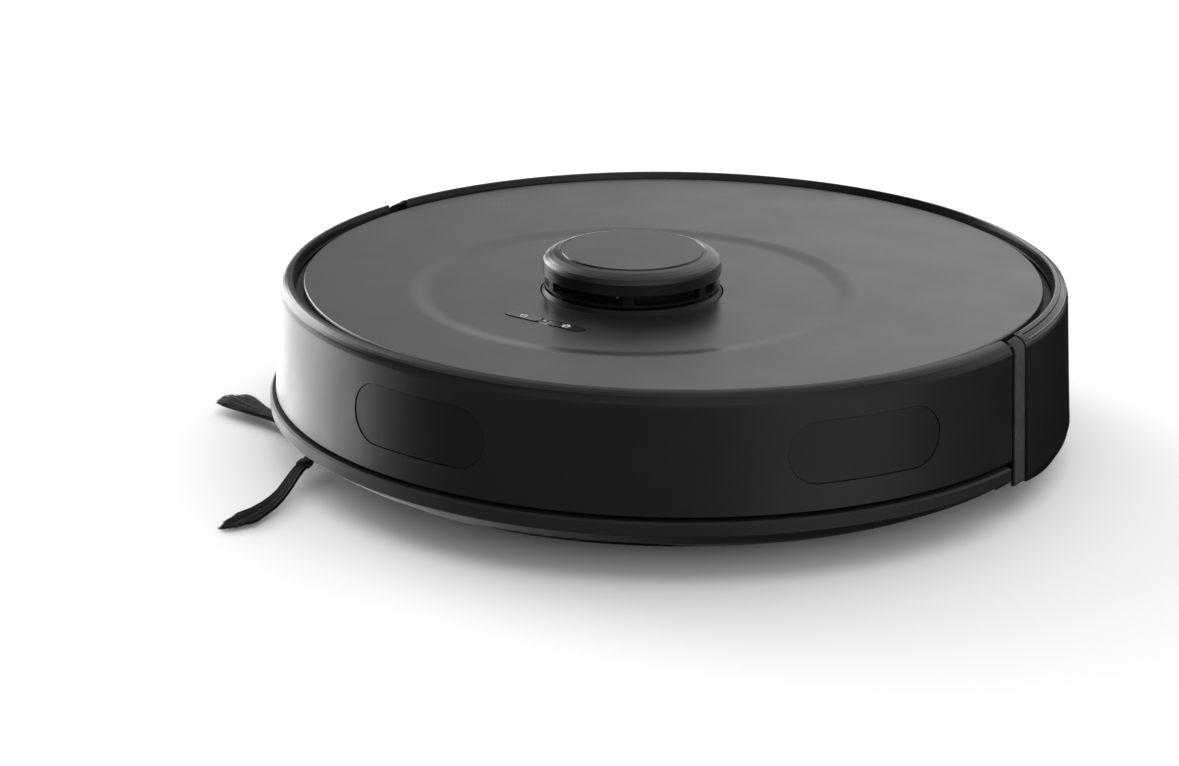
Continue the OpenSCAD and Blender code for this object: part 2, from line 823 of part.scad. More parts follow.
module caster_fork() {
    color(inner_grey) translate(caster_pos) difference() {
        union() {
            translate([0, 0, 8]) cylinder(r = 21, h = 22.5);
            translate([0, 0, 30]) cylinder(r = 4, h = 15);
        }
        block([-8.6, caster_trail - caster_r - 1, 0],
              [8.6, caster_trail + caster_r + 1, 2 * caster_r + 1]);
        translate([0, caster_trail, caster_r]) rod_x(1.56, -14, 14);
        difference() {
            translate([0, 0, 7]) cylinder(r = 30, h = 7);
            translate([0, 0, 6]) cylinder(r1 = 12, r2 = 21, h = 8);
        }
    }
}

module caster_wheel() {
    color([0.75, 0.75, 0.75]) translate([0, caster_pos[1] + caster_trail, caster_r]) {
        rotate([0, 90, 0]) rotate_extrude() polygon([
            [0, -8], [10.5, -8], [caster_r, -5.5], [caster_r, 5.5], [10.5, 8], [0, 8]]);
        rod_x(1.5, -13, 13);
    }
}

// ---------- sensors, contacts and board ----------

module cliff_windows() {
    color([0.03, 0.02, 0.03]) for (p = cliff_places)
        translate([p[0], p[1], ground_gap + 0.3]) {
            linear_extrude(2.2) rounded([-10.8, -5.8], [10.8, 5.8], 2.8);
            translate([0, 0, plate_t - 0.3]) linear_extrude(8) rounded([-12, -7], [12, 7], 2);
        }
}

module charge_contacts() {
    color(steel) for (p = contact_places)
        translate([p[0], p[1], ground_gap - 0.3]) linear_extrude(3) rounded([-14.8, -4.8], [14.8, 4.8], 1.8);
}

module main_board() {
    color(board_green) {
        block([-86, 9, 49.5], [42, 50, 51.1]);
        for (x = [-70:20:10]) block([x, 16, 51.1 - e], [x + 12, 28, 53.5]);
        for (x = [-76:15:29]) translate([x, 42, 51]) cylinder(r = 3.4, h = 7, $fn = 32);
    }
}

// ---------- dust bin and fan ----------

module dust_bin() {
    low = bin_box[0];
    high = bin_box[1];
    color([0.12, 0.12, 0.13]) difference() {
        translate([0, 0, bin_floor]) linear_extrude(bin_top - bin_floor) rounded(low, high, 8);
        translate([0, 0, bin_floor + 2]) linear_extrude(60)
            rounded(low + [2, 2], high - [2, 2], 6);
        block([-50, low[1] - 1, 26], [34, low[1] + 3, 40]);
        block([high[0] - 3, 70, 30], [high[0] + 1, 122, 60]);
    }
}

module dust_bin_lid() {
    color([0.14, 0.14, 0.15]) translate([0, 0, bin_top]) difference() {
        linear_extrude(3) rounded(bin_box[0], bin_box[1], 8);
        translate([0, 0, 1]) linear_extrude(4) rounded([-40, 120], [24, 132], 5);
    }
}

module dust_filter() {
    back = bin_box[1][0] - 2;
    color([0.9, 0.9, 0.9]) {
        difference() {
            block([back - 4, 66.4, 27], [back, 127.6, 63]);
            block([back - 5, 70, 30], [back + 1, 124, 60]);
        }
        for (y = [70:4:122])
            block([back - 3.5, y + 0.6, 30 - e], [back - 0.5, y + 2.2, 60 + e]);
    }
}

module fan_housing() {
    color(inner_grey) translate([fan_pos[0], fan_pos[1], 0]) difference() {
        translate([0, 0, plate_top + 2]) cylinder(r = fan_r, h = 44.5);
        translate([0, 0, 30]) cylinder(r = fan_r - 2.5, h = 25.5);
        translate([0, 0, 50]) cylinder(r = 13, h = 20);
        translate([0, 0, 0]) cylinder(r = 2.05, h = 40, $fn = 32);
        rotate([0, 0, 40]) block([0, -7, 32], [fan_r + 4, 7, 46]);
    }
}

module fan_impeller() {
    color(shell_black) translate([fan_pos[0], fan_pos[1], 0]) {
        translate([0, 0, 32]) cylinder(r = 22, h = 1.6);
        translate([0, 0, 33]) cylinder(r = 7, h = 14);
        translate([0, 0, 24]) cylinder(r = 2, h = 9, $fn = 32);
        for (k = [0:8]) rotate([0, 0, 40 * k]) block([6.5, -0.8, 33], [21.5, 0.8, 46]);
    }
}

base_chassis();
battery_door();
battery();
mid_frame();
frame_wall();
rear_housing();
chassis_screws();
bumper();
ir_window_front();
ir_window_left();
ir_window_right();
bumper_springs();
bumper_switches();
top_lid();
power_button();
home_button();
status_light();
turret_base();
turret_cage();
turret_cap();
lidar_rotor();
lidar_lenses();
lidar_plate();
lidar_motor();
lidar_motor_pulley();
lidar_belt();
side_brush_hub();
side_brush_arms();
side_brush_bristles();
side_brush_gearbox();
roller_core();
roller_blades();
roller_bearings();
roller_pulley();
roller_belt();
roller_motor();
roller_motor_pulley();
brush_tunnel();
brush_cover();
suspension_arm_left();
suspension_arm_right();
wheel_rim_left();
wheel_rim_right();
wheel_tyre_left();
wheel_tyre_right();
drive_motor_left();
drive_motor_right();
suspension_springs();
caster_socket();
caster_fork();
caster_wheel();
cliff_windows();
charge_contacts();
dock_sensor_window();
main_board();
dust_bin();
dust_bin_lid();
dust_filter();
fan_housing();
fan_impeller();
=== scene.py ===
"""Looks of a round robot vacuum cleaner: materials, bristles, springs, icons, floor, light, camera.

Lengths are metres. The robot drives towards -Y and its left side is +X.
"""
import json
import math
import random

import bmesh
import bpy
from mathutils import Matrix, Vector


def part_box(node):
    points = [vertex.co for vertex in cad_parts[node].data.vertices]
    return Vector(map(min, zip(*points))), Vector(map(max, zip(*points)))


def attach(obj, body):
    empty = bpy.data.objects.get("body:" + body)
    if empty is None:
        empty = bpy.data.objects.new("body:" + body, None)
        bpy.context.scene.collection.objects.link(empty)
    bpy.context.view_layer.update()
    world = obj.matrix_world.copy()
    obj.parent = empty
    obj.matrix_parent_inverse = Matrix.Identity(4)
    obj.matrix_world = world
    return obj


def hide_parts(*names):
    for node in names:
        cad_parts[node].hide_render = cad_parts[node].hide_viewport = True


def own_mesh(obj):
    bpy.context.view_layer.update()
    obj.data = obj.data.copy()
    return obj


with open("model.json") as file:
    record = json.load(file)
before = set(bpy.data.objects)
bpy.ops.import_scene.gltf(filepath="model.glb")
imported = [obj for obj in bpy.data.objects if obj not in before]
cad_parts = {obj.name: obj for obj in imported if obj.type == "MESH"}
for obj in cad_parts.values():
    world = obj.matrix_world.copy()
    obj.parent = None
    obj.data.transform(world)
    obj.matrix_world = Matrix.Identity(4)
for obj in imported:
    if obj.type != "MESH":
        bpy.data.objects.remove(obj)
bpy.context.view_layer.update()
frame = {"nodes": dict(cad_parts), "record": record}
NODES = frame["nodes"]
RECORD = frame["record"]
SCENE = bpy.context.scene
MM = 0.001


# ---------- camera ----------

VIEW_AZIMUTH = math.radians(38.0)
VIEW_ELEVATION = math.radians(18.56)
VIEW_DISTANCE = 1.276
VIEW_ROLL = math.radians(0.3)
VIEW_LENS = 93.5
AIM = Vector((0.0116, -0.0729, 0.045))
ASIDE = Vector((math.cos(VIEW_AZIMUTH), math.sin(VIEW_AZIMUTH), 0))
TOWARDS = Vector((math.sin(VIEW_AZIMUTH), -math.cos(VIEW_AZIMUTH), 0))
UP = Vector((0, 0, 1))


def make_camera():
    data = bpy.data.cameras.new("camera")
    data.sensor_width = 36
    data.lens = VIEW_LENS
    camera = bpy.data.objects.new("camera", data)
    SCENE.collection.objects.link(camera)
    back = TOWARDS * math.cos(VIEW_ELEVATION) + UP * math.sin(VIEW_ELEVATION)
    camera.location = AIM + back * VIEW_DISTANCE
    turn = (-back).to_track_quat("-Z", "Y").to_matrix()
    camera.rotation_euler = (turn @ Matrix.Rotation(VIEW_ROLL, 3, "Z")).to_euler()
    SCENE.camera = camera


# ---------- materials ----------


class Shader:
    """A node material with one Principled shader, and short ways to add to it."""

    def __init__(self, name):
        self.mat = bpy.data.materials.new(name)
        self.mat.use_nodes = True
        self.tree = self.mat.node_tree
        self.bsdf = next(n for n in self.tree.nodes if n.type == "BSDF_PRINCIPLED")
        self.place = self.add("ShaderNodeTexCoord").outputs["Object"]

    def add(self, kind, **values):
        node = self.tree.nodes.new(kind)
        for key, value in values.items():
            if key in node.inputs:
                node.inputs[key].default_value = value
            else:
                setattr(node, key, value)
        return node

    def link(self, output, target):
        self.tree.links.new(output, target)

    def stretched(self, x, y, z):
        node = self.add("ShaderNodeMapping", Scale=(x, y, z))
        self.link(self.place, node.inputs["Vector"])
        return node.outputs["Vector"]

    def noise(self, scale, detail=3.0, rough=0.55, place=None):
        node = self.add("ShaderNodeTexNoise", Scale=scale, Detail=detail, Roughness=rough)
        self.link(place or self.place, node.inputs["Vector"])
        return node.outputs["Fac"]

    def cells(self, scale):
        node = self.add("ShaderNodeTexVoronoi", Scale=scale)
        self.link(self.place, node.inputs["Vector"])
        return node.outputs["Distance"]

    def span(self, value, low, high, into=(0.3, 0.7)):
        node = self.add("ShaderNodeMapRange")
        node.inputs["From Min"].default_value = into[0]
        node.inputs["From Max"].default_value = into[1]
        node.inputs["To Min"].default_value = low
        node.inputs["To Max"].default_value = high
        self.link(value, node.inputs["Value"])
        return node.outputs["Result"]

    def along(self, axis):
        """One coordinate of the place on the object."""
        node = self.add("ShaderNodeSeparateXYZ")
        self.link(self.place, node.inputs["Vector"])
        return node.outputs[axis]

    def both(self, a, b, operation="ADD"):
        node = self.add("ShaderNodeMath", operation=operation)
        self.link(a, node.inputs[0])
        self.link(b, node.inputs[1])
        return node.outputs["Value"]

    def blend(self, factor, a, b):
        node = self.add("ShaderNodeMix", data_type="RGBA")
        for name, colour in (("A", a), ("B", b)):
            socket = [i for i in node.inputs if i.name == name and i.type == "RGBA"][0]
            socket.default_value = (*colour, 1)
        self.link(factor, node.inputs["Factor"])
        return [o for o in node.outputs if o.type == "RGBA"][0]

    def colour(self, output):
        self.link(output, self.bsdf.inputs["Base Color"])

    def roughness(self, output):
        self.link(output, self.bsdf.inputs["Roughness"])

    def bump(self, height, strength, distance, under=None):
        node = self.add("ShaderNodeBump", Strength=strength, Distance=distance)
        self.link(height, node.inputs["Height"])
        if under:
            self.link(under, node.inputs["Normal"])
        self.link(node.outputs["Normal"], self.bsdf.inputs["Normal"])
        return node.outputs["Normal"]

    def set(self, **values):
        for key, value in values.items():
            self.bsdf.inputs[key.replace("_", " ")].default_value = value


def tint(colour, factor):
    return [min(1.0, c * factor) for c in colour]


def plastic(name, colour, rough, grain=2600, strength=0.3, specular=0.5, mottle=0.2, wear=0.0):
    """Moulded plastic: spark-eroded grain, faint flow marks, uneven gloss, fine scuffs."""
    s = Shader(name)
    s.colour(s.blend(s.span(s.noise(14, 4), 0, 1), tint(colour, 1 - mottle), tint(colour, 1 + mottle)))
    gloss = s.span(s.noise(38, 5), rough * 0.9, rough * 1.1)
    scuffs = s.span(s.noise(420, 4, 0.7, s.stretched(1, 0.07, 0.6)), 0, 1, (0.62, 0.8))
    scuffed = s.add("ShaderNodeMath", operation="MULTIPLY_ADD")
    s.link(scuffs, scuffed.inputs[0])
    scuffed.inputs[1].default_value = wear
    s.link(gloss, scuffed.inputs[2])
    s.roughness(scuffed.outputs["Value"])
    fine = s.bump(s.noise(grain, 2), strength, 0.00002)
    s.bump(s.noise(55, 3), 0.05, 0.0002, fine)
    s.set(Specular_IOR_Level=specular)
    return s


def rubber(name, colour, rough=0.75, specular=0.3):
    s = Shader(name)
    dust = s.span(s.noise(90, 6, 0.7), 0, 1, (0.5, 0.85))
    s.colour(s.blend(dust, colour, tint(colour, 2.2)))
    s.roughness(s.span(s.noise(300, 4), rough * 0.85, min(1.0, rough * 1.15)))
    s.bump(s.both(s.noise(1900, 3), s.cells(700)), 0.35, 0.00006)
    s.set(Specular_IOR_Level=specular)
    return s


def metal(name, colour, rough=0.3, along=(1, 1, 0.05)):
    """Drawn or turned metal: fine lines along one direction and a little tarnish."""
    s = Shader(name)
    lines = s.noise(1500, 4, 0.6, s.stretched(*along))
    tarnish = s.noise(120, 4)
    s.colour(s.blend(s.span(tarnish, 0, 1), tint(colour, 0.8), colour))
    s.roughness(s.span(s.both(lines, tarnish, "MULTIPLY"), rough * 0.7, rough * 1.4, (0.1, 0.45)))
    s.bump(lines, 0.2, 0.00001)
    s.set(Metallic=1.0)
    return s


def shell(name, colour, rough, polished, rim_low, rim_high):
    """Satin shell plastic whose rolled rim is smoother, as handling and the mould leave it."""
    s = plastic(name, colour, rough, strength=0.2, specular=0.18, wear=0.02)
    satin = s.bsdf.inputs["Roughness"].links[0].from_socket
    at_rim = s.span(s.along("Z"), 0, 1, (rim_low, rim_high))
    mix = s.add("ShaderNodeMix", data_type="FLOAT")
    s.link(at_rim, mix.inputs["Factor"])
    s.link(satin, mix.inputs["A"])
    s.link(s.span(s.noise(60, 4), polished * 0.85, polished * 1.15), mix.inputs["B"])
    s.roughness(mix.outputs["Result"])
    return s


def infrared_window(name, colour):
    """Polished plastic that passes infrared: nearly black and even."""
    s = plastic(name, colour, 0.34, grain=900, strength=0.04, specular=0.13, mottle=0.1)
    s.set(Coat_Weight=0.05, Coat_Roughness=0.25)
    return s


def battery_film(name, colour):
    s = Shader(name)
    s.colour(s.blend(s.span(s.noise(30, 3), 0, 1), tint(colour, 0.9), tint(colour, 1.15)))
    s.roughness(s.span(s.noise(80, 4), 0.22, 0.38))
    wrinkles = s.noise(130, 5, 0.6, s.stretched(1, 0.35, 1))
    s.bump(wrinkles, 0.5, 0.0004)
    return s


def solder_mask(name, colour):
    """Circuit board: darker mask with lighter tracks and pale pads."""
    s = Shader(name)
    tracks = s.add("ShaderNodeTexBrick", Scale=160.0)
    tracks.inputs["Mortar Size"].default_value = 0.035
    tracks.inputs["Color1"].default_value = (*colour, 1)
    tracks.inputs["Color2"].default_value = (*tint(colour, 0.85), 1)
    tracks.inputs["Mortar"].default_value = (*tint(colour, 2.1), 1)
    s.link(s.place, tracks.inputs["Vector"])
    s.colour(tracks.outputs["Color"])
    s.roughness(s.span(s.noise(200, 3), 0.3, 0.45))
    s.bump(tracks.outputs["Fac"], 0.3, 0.00005)
    return s


def filter_paper(name, colour):
    s = Shader(name)
    fibres = s.noise(1600, 6, 0.75, s.stretched(1, 1, 0.3))
    dust = s.span(s.noise(45, 5), 0, 1, (0.45, 0.8))
    s.colour(s.blend(dust, colour, tint(colour, 0.72)))
    s.set(Roughness=0.95, Sheen_Weight=0.2)
    s.bump(fibres, 0.6, 0.00012)
    return s


def bristle(name, colour):
    """Nylon filament: round and slightly glossy, with paler specks here and there."""
    s = Shader(name)
    s.colour(s.blend(s.span(s.noise(700, 2), 0, 1), colour, tint(colour, 1.8)))
    s.roughness(s.span(s.noise(900, 2), 0.5, 0.7))
    s.bump(s.noise(4000, 2), 0.15, 0.00001)
    s.set(Specular_IOR_Level=0.12)
    return s


def smoked_plastic(name, colour):
    s = plastic(name, colour, 0.16, grain=700, strength=0.04, mottle=0.1)
    s.set(Coat_Weight=0.25, Coat_Roughness=0.08)
    return s


def lens_glass(name, colour):
    s = Shader(name)
    s.colour(s.blend(s.span(s.noise(60, 2), 0, 1), tint(colour, 0.8), colour))
    s.roughness(s.span(s.noise(150, 2), 0.03, 0.07))
    s.set(Coat_Weight=0.6, Coat_Roughness=0.02)
    return s


def make_materials():
    colour = {row["slot"]: row["base_color"][:3] for row in RECORD["materials"]}
    black = (0.0065, 0.0065, 0.0068)
    made = {
        "shell_black": shell("shell_black", black, 0.36, 0.2, 0.0725, 0.0735),
        "lid_satin": plastic("lid_satin", (0.011, 0.011, 0.0114), 0.3, grain=3200, strength=0.12,
                             specular=0.42, mottle=0.1, wear=0.012),
        "turret_black": plastic("turret_black", (0.004, 0.004, 0.004), 0.34, specular=0.12, strength=0.25),
        "cap_satin": plastic("cap_satin", (0.003, 0.003, 0.0032), 0.28, grain=3200, strength=0.15,
                             specular=0.3, mottle=0.12, wear=0.04),
        "chassis_black": plastic("chassis_black", (0.008, 0.008, 0.0083), 0.5, grain=1500, strength=0.5,
                                 specular=0.18, wear=0.05),
        "ir_gloss": infrared_window("ir_gloss", (0.0055, 0.0055, 0.006)),
        "button_black": plastic("button_black", (0.01, 0.01, 0.011), 0.2, grain=600, strength=0.05),
        "light_white": plastic("light_white", colour["light_white"], 0.4, grain=900, strength=0.1),
        "spring_steel": metal("spring_steel", colour["spring_steel"], 0.25, (1, 1, 1)),
        "motor_steel": metal("motor_steel", colour["motor_steel"], 0.32, (0.05, 1, 1)),
        "screw_steel": metal("screw_steel", colour["screw_steel"], 0.35, (1, 1, 1)),
        "contact_plate": metal("contact_plate", colour["contact_plate"], 0.2, (0.05, 1, 1)),
        "brass": metal("brass", colour["brass"], 0.3, (1, 1, 0.1)),
        "belt_rubber": rubber("belt_rubber", colour["belt_rubber"]),
        "brush_rubber": rubber("brush_rubber", (0.008, 0.008, 0.008), 0.6, 0.2),
        "bristle_nylon": bristle("bristle_nylon", (0.003, 0.003, 0.003)),
        "roller_rubber": rubber("roller_rubber", colour["roller_rubber"], 0.6),
        "roller_core": plastic("roller_core", colour["roller_core"], 0.45),
        "wheel_grey": plastic("wheel_grey", colour["wheel_grey"], 0.45, grain=1800, wear=0.08),
        "tyre": rubber("tyre", colour["tyre"]),
        "caster_white": plastic("caster_white", colour["caster_white"], 0.4, grain=1600, wear=0.1),
        "battery_wrap": battery_film("battery_wrap", colour["battery_wrap"]),
        "board_green": solder_mask("board_green", colour["board_green"]),
        "bin_smoke": smoked_plastic("bin_smoke", colour["bin_smoke"]),
        "filter_paper": filter_paper("filter_paper", colour["filter_paper"]),
        # Lens colour darkened from its own red to near black: painted shade standing for the shaded inside
        # of the turret.
        "lens_red": lens_glass("lens_red", (0.003, 0.0012, 0.0015)),
        "nylon_white": plastic("nylon_white", colour["nylon_white"], 0.42, grain=1500),
    }
    for row in RECORD["subparts"]:
        mesh = NODES[row["node"]].data
        mesh.materials.clear()
        mesh.materials.append(made[row["material_slot"]].mat)
    return {name: shader.mat for name, shader in made.items()}


# ---------- mesh helpers ----------


def piece(name, shape, body, slot, replaces=None):
    """A new visible object made of a shape, which may stand in for one CAD node."""
    mesh = bpy.data.meshes.new(name)
    mesh.from_pydata([tuple(v) for v in shape.verts], [], shape.faces)
    work = bmesh.new()
    work.from_mesh(mesh)
    bmesh.ops.recalc_face_normals(work, faces=work.faces)
    work.to_mesh(mesh)
    work.free()
    obj = bpy.data.objects.new(name, mesh)
    SCENE.collection.objects.link(obj)
    mesh.materials.append(MATERIALS[slot])
    mesh.shade_smooth()
    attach(obj, body)
    if replaces:
        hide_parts(replaces)
    return obj


class Shape:
    """Vertices and faces that several closed shells are added to."""

    def __init__(self):
        self.verts = []
        self.faces = []

    def loft(self, rings, closed=False):
        """Joins rings of equal length, and caps both ends unless the loft is closed."""
        base = len(self.verts)
        count = len(rings[0])
        for ring in rings:
            self.verts += ring
        steps = len(rings) if closed else len(rings) - 1
        for i in range(steps):
            a = base + i * count
            b = base + ((i + 1) % len(rings)) * count
            for j in range(count):
                k = (j + 1) % count
                self.faces.append((a + j, a + k, b + k, b + j))
        if not closed:
            self.faces.append(tuple(base + j for j in reversed(range(count))))
            self.faces.append(tuple(base + (len(rings) - 1) * count + j for j in range(count)))

    def tube(self, path, radius, sides=6):
        """A tube along path; radius is a number or a function of the share of the length."""
        size = radius if callable(radius) else lambda share: radius
        rings = []
        across = None
        for i, point in enumerate(path):
            ahead = (path[min(i + 1, len(path) - 1)] - path[max(i - 1, 0)]).normalized()
            if across is None:
                across = ahead.orthogonal().normalized()
            across = (across - ahead * across.dot(ahead)).normalized()
            other = ahead.cross(across)
            r = size(i / (len(path) - 1))
            rings.append([
                point + (across * math.cos(t) + other * math.sin(t)) * r
                for t in (2 * math.pi * j / sides for j in range(sides))
            ])
        self.loft(rings)


def lens_ring(middle, along, up, half_width, half_height, corner=4.0, count=16):
    """A superellipse across the direction along, flat on top and round at its sides."""
    aside = up.cross(along).normalized()
    ring = []
    for j in range(count):
        t = 2 * math.pi * j / count
        c, s = math.cos(t), math.sin(t)
        x = math.copysign(abs(c) ** (2 / corner), c)
        y = math.copysign(abs(s) ** (2 / corner), s)
        ring.append(middle + aside * x * half_width + up * y * half_height)
    return ring


def middle_of(node):
    low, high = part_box(node)
    return (Vector(low) + Vector(high)) / 2


# ---------- side brush ----------

ARM_ROOT = 9.5 * MM
COLLAR_END = 31 * MM
FILAMENTS = 220
TUFT_ROOT = 29 * MM
ARM_LEVEL = 6.2
# Along a rubber arm and the collar that grips its tuft: radius in metres, half width and half height
# in millimetres
ARM_STATIONS = (
    (ARM_ROOT, 5.0, 1.25), (14 * MM, 4.2, 1.25), (19 * MM, 3.3, 1.2), (24 * MM, 2.8, 1.15),
    (26 * MM, 2.7, 1.15), (26.6 * MM, 3.2, 1.5), (30.4 * MM, 3.2, 1.5), (COLLAR_END, 2.9, 1.2),
)
# For each arm: direction in degrees, bows to the side (single and double), how far its tip sinks,
# by what share its outermost filaments are shorter, and pairs of a radius and the tuft's width there.
# The lengths are in millimetres.
TUFTS = (
    (46.5, (0, 0), 4.2, 0.08, ((28, 4.0), (60, 6.5), (78, 11), (93, 16))),
    (169.5, (2.2, 0), 1.3, 0.07, ((28, 4.0), (44, 5.0), (60, 10.5), (74, 17.5), (87, 17.5))),
    (283.2, (3.4, 4.4), 4.6, 0.14, ((28, 4.0), (62, 5.5), (80, 9.0), (92, 14), (102.5, 21))),
)


def width_at(widths, radius):
    """Width between the given places, in metres."""
    for (r0, w0), (r1, w1) in zip(widths, widths[1:]):
        if radius <= r1 * MM:
            share = max(0.0, (radius / MM - r0) / (r1 - r0))
            return (w0 + (w1 - w0) * share) * MM
    return widths[-1][1] * MM


def brush_line(axis, turn, bows, sink, length, share):
    """Point on the middle line of an arm, which sinks towards the floor and bows sideways."""
    out = Vector((math.cos(turn), math.sin(turn), 0))
    aside = UP.cross(out)
    r = share * length
    height = ARM_LEVEL - sink * share**1.4
    bow = bows[0] * math.sin(math.pi * share) - bows[1] * math.sin(2 * math.pi * share)
    return axis + out * r + aside * bow * MM + UP * height * MM


def make_side_brush():
    axis = middle_of("side_brush_hub")
    axis.z = 0
    rng = random.Random(7)
    for number, (degrees, bows, sink, taper, widths) in enumerate(TUFTS):
        turn = math.radians(degrees)
        length = widths[-1][0] * MM
        arm = Shape()
        rings = []
        for r, half_width, half_height in ARM_STATIONS:
            here = brush_line(axis, turn, bows, sink, length, r / length)
            ahead = brush_line(axis, turn, bows, sink, length, r / length + 0.02) - here
            rings.append(lens_ring(here, ahead.normalized(), UP, half_width * MM, half_height * MM))
        arm.loft(rings)
        piece("side_brush_arm_%d" % number, arm, "side_brush", "brush_rubber", "side_brush_arms")
        tuft = Shape()
        for _ in range(FILAMENTS):
            place = rng.uniform(-1, 1)
            layer = rng.uniform(-1, 1)
            reach = length * (1 - abs(taper * place) - rng.uniform(0, 0.02))
            path = []
            for step in range(9):
                share = (TUFT_ROOT + (reach - TUFT_ROOT) * step / 8) / length
                fan = max(0.0, (share - 0.35) / 0.65)
                half = width_at(widths, share * length) / 2
                here = brush_line(axis, turn, bows, sink, length, share)
                ahead = brush_line(axis, turn, bows, sink, length, share + 0.02) - here
                aside = UP.cross(ahead).normalized()
                lift = layer * (0.9 - 0.35 * fan) * MM
                path.append(here + aside * place * half + UP * lift)
            tuft.tube(path, lambda share: (0.2 - 0.09 * share) * MM, 4)
        piece("side_brush_tuft_%d" % number, tuft, "side_brush", "bristle_nylon", "side_brush_bristles")


# ---------- roller brush ----------

GUARD_BARS = (-52 * MM, 0.0, 52 * MM)
GUARD_SLOT = 3 * MM
FIN_TIP = 19.4 * MM
FIN_TWIST = math.radians(50)
FIN_STEPS = 10
HAIR_ROOT = 10.8 * MM
HAIR_PITCH = 3.2 * MM
HAIRS_IN_A_HOLE = 9
# Radius in millimetres, and half the fin's thickness there as an angle
FIN_HALF = ((10.8, 0.1), (12, 0.075), (15, 0.05), (18.6, 0.04), (19.4, 0.02))
FIN_OUTLINE = [(radius, -lean) for radius, lean in FIN_HALF] + list(reversed(FIN_HALF))


def fin_sections(half):
    """Stretches of the roller between the slots that the guard bars pass through."""
    edges = [-half] + [v for bar in GUARD_BARS for v in (bar - GUARD_SLOT, bar + GUARD_SLOT)] + [half]
    return list(zip(edges[0::2], edges[1::2]))


def make_roller():
    """Three rubber fins that meet in a chevron, and three rows of bristles between them."""
    axis = middle_of("roller_core")
    low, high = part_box("roller_blades")
    half = (high[0] - low[0]) / 2
    axis.x = 0
    fins = Shape()
    hairs = Shape()
    rng = random.Random(11)

    def around(x, angle, radius):
        turned = angle + FIN_TWIST * (1 - abs(x) / half)
        return axis + Vector((x, math.cos(turned) * radius, math.sin(turned) * radius))

    for k in range(6):
        angle = math.radians(60 * k)
        for start, end in fin_sections(half):
            if k % 2 == 0:
                rings = []
                for i in range(FIN_STEPS + 1):
                    x = start + (end - start) * i / FIN_STEPS
                    rings.append([around(x, angle + lean, radius * MM) for radius, lean in FIN_OUTLINE])
                fins.loft(rings)
                continue
            count = int((end - start) / HAIR_PITCH)
            for i in range(count):
                x = start + (end - start) * (i + 0.5) / count
                for _ in range(HAIRS_IN_A_HOLE):
                    foot = around(x + rng.uniform(-0.7, 0.7) * MM, angle + rng.uniform(-0.04, 0.04),
                                  HAIR_ROOT)
                    tip = around(x + rng.uniform(-1.4, 1.4) * MM, angle + rng.uniform(-0.09, 0.09),
                                 FIN_TIP - rng.uniform(0, 0.5) * MM)
                    hairs.tube([foot, foot.lerp(tip, 0.5), tip], 0.14 * MM, 3)
    piece("roller_fins", fins, "roller", "roller_rubber", "roller_blades")
    piece("roller_bristles", hairs, "roller", "bristle_nylon", "roller_blades")


# ---------- springs ----------


SUSPENSION_SPRING_X = 92.5 * MM
BUMPER_SPRING_FOOT = 163.05 * MM
BUMPER_SPRING_LEVEL = 45 * MM


def helix(start, along, radius, turns, length, wire):
    """Path of a compression spring with its end turns closed up."""
    across = along.orthogonal().normalized()
    other = along.cross(across)
    steps = int(turns * 20)
    path = []
    for i in range(steps + 1):
        share = i / steps
        ease = share - 0.09 * math.sin(2 * math.pi * share)
        t = 2 * math.pi * turns * share
        rise = wire + (length - 2 * wire) * ease
        path.append(start + along * rise + (across * math.cos(t) + other * math.sin(t)) * radius)
    return path


def make_springs():
    low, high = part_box("suspension_springs")
    for name, sign in (("left", 1), ("right", -1)):
        shape = Shape()
        start = Vector((sign * SUSPENSION_SPRING_X, (low[1] + high[1]) / 2, low[2]))
        shape.tube(helix(start, UP, 4 * MM, 5.5, high[2] - low[2], 0.6 * MM), 0.6 * MM, 8)
        piece("suspension_spring_" + name, shape, "body", "spring_steel", "suspension_springs")
    for name, degrees in (("right", -120), ("left", -60)):
        out = Vector((math.cos(math.radians(degrees)), math.sin(math.radians(degrees)), 0))
        foot = out * BUMPER_SPRING_FOOT + UP * BUMPER_SPRING_LEVEL
        shape = Shape()
        shape.tube(helix(foot, out, 3 * MM, 4, 3.8 * MM, 0.3 * MM), 0.3 * MM, 8)
        spring = piece("bumper_spring_" + name, shape, "body", "spring_steel", "bumper_springs")
        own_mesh(spring)


# ---------- icons on the buttons ----------


def arc_path(middle, radius, start, end, steps=20):
    return [
        middle + Vector((math.cos(t), math.sin(t), 0)) * radius
        for t in (start + (end - start) * i / steps for i in range(steps + 1))
    ]


def make_icons():
    line = 0.17 * MM
    power = middle_of("power_button")
    home = middle_of("home_button")
    power.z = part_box("power_button")[1][2]
    home.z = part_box("home_button")[1][2]
    ring = Shape()
    ring.tube(arc_path(power, 1.4 * MM, math.radians(125), math.radians(415)), line, 8)
    ring.tube([power + Vector((0, y * MM, 0)) for y in (0.2, 1.0, 1.8)], line, 8)
    piece("power_icon", ring, "power_button", "light_white")
    house = Shape()
    roof = [(-1.9, 0.1), (0, 1.6), (1.9, 0.1)]
    walls = [(-1.2, 0.3), (-1.2, -1.4), (1.2, -1.4), (1.2, 0.3)]
    for outline in (roof, walls):
        for a, b in zip(outline, outline[1:]):
            ends = [home + Vector((x * MM, y * MM, 0)) for x, y in (a, b)]
            house.tube([ends[0], ends[0].lerp(ends[1], 0.5), ends[1]], line, 8)
    piece("home_icon", house, "home_button", "light_white")


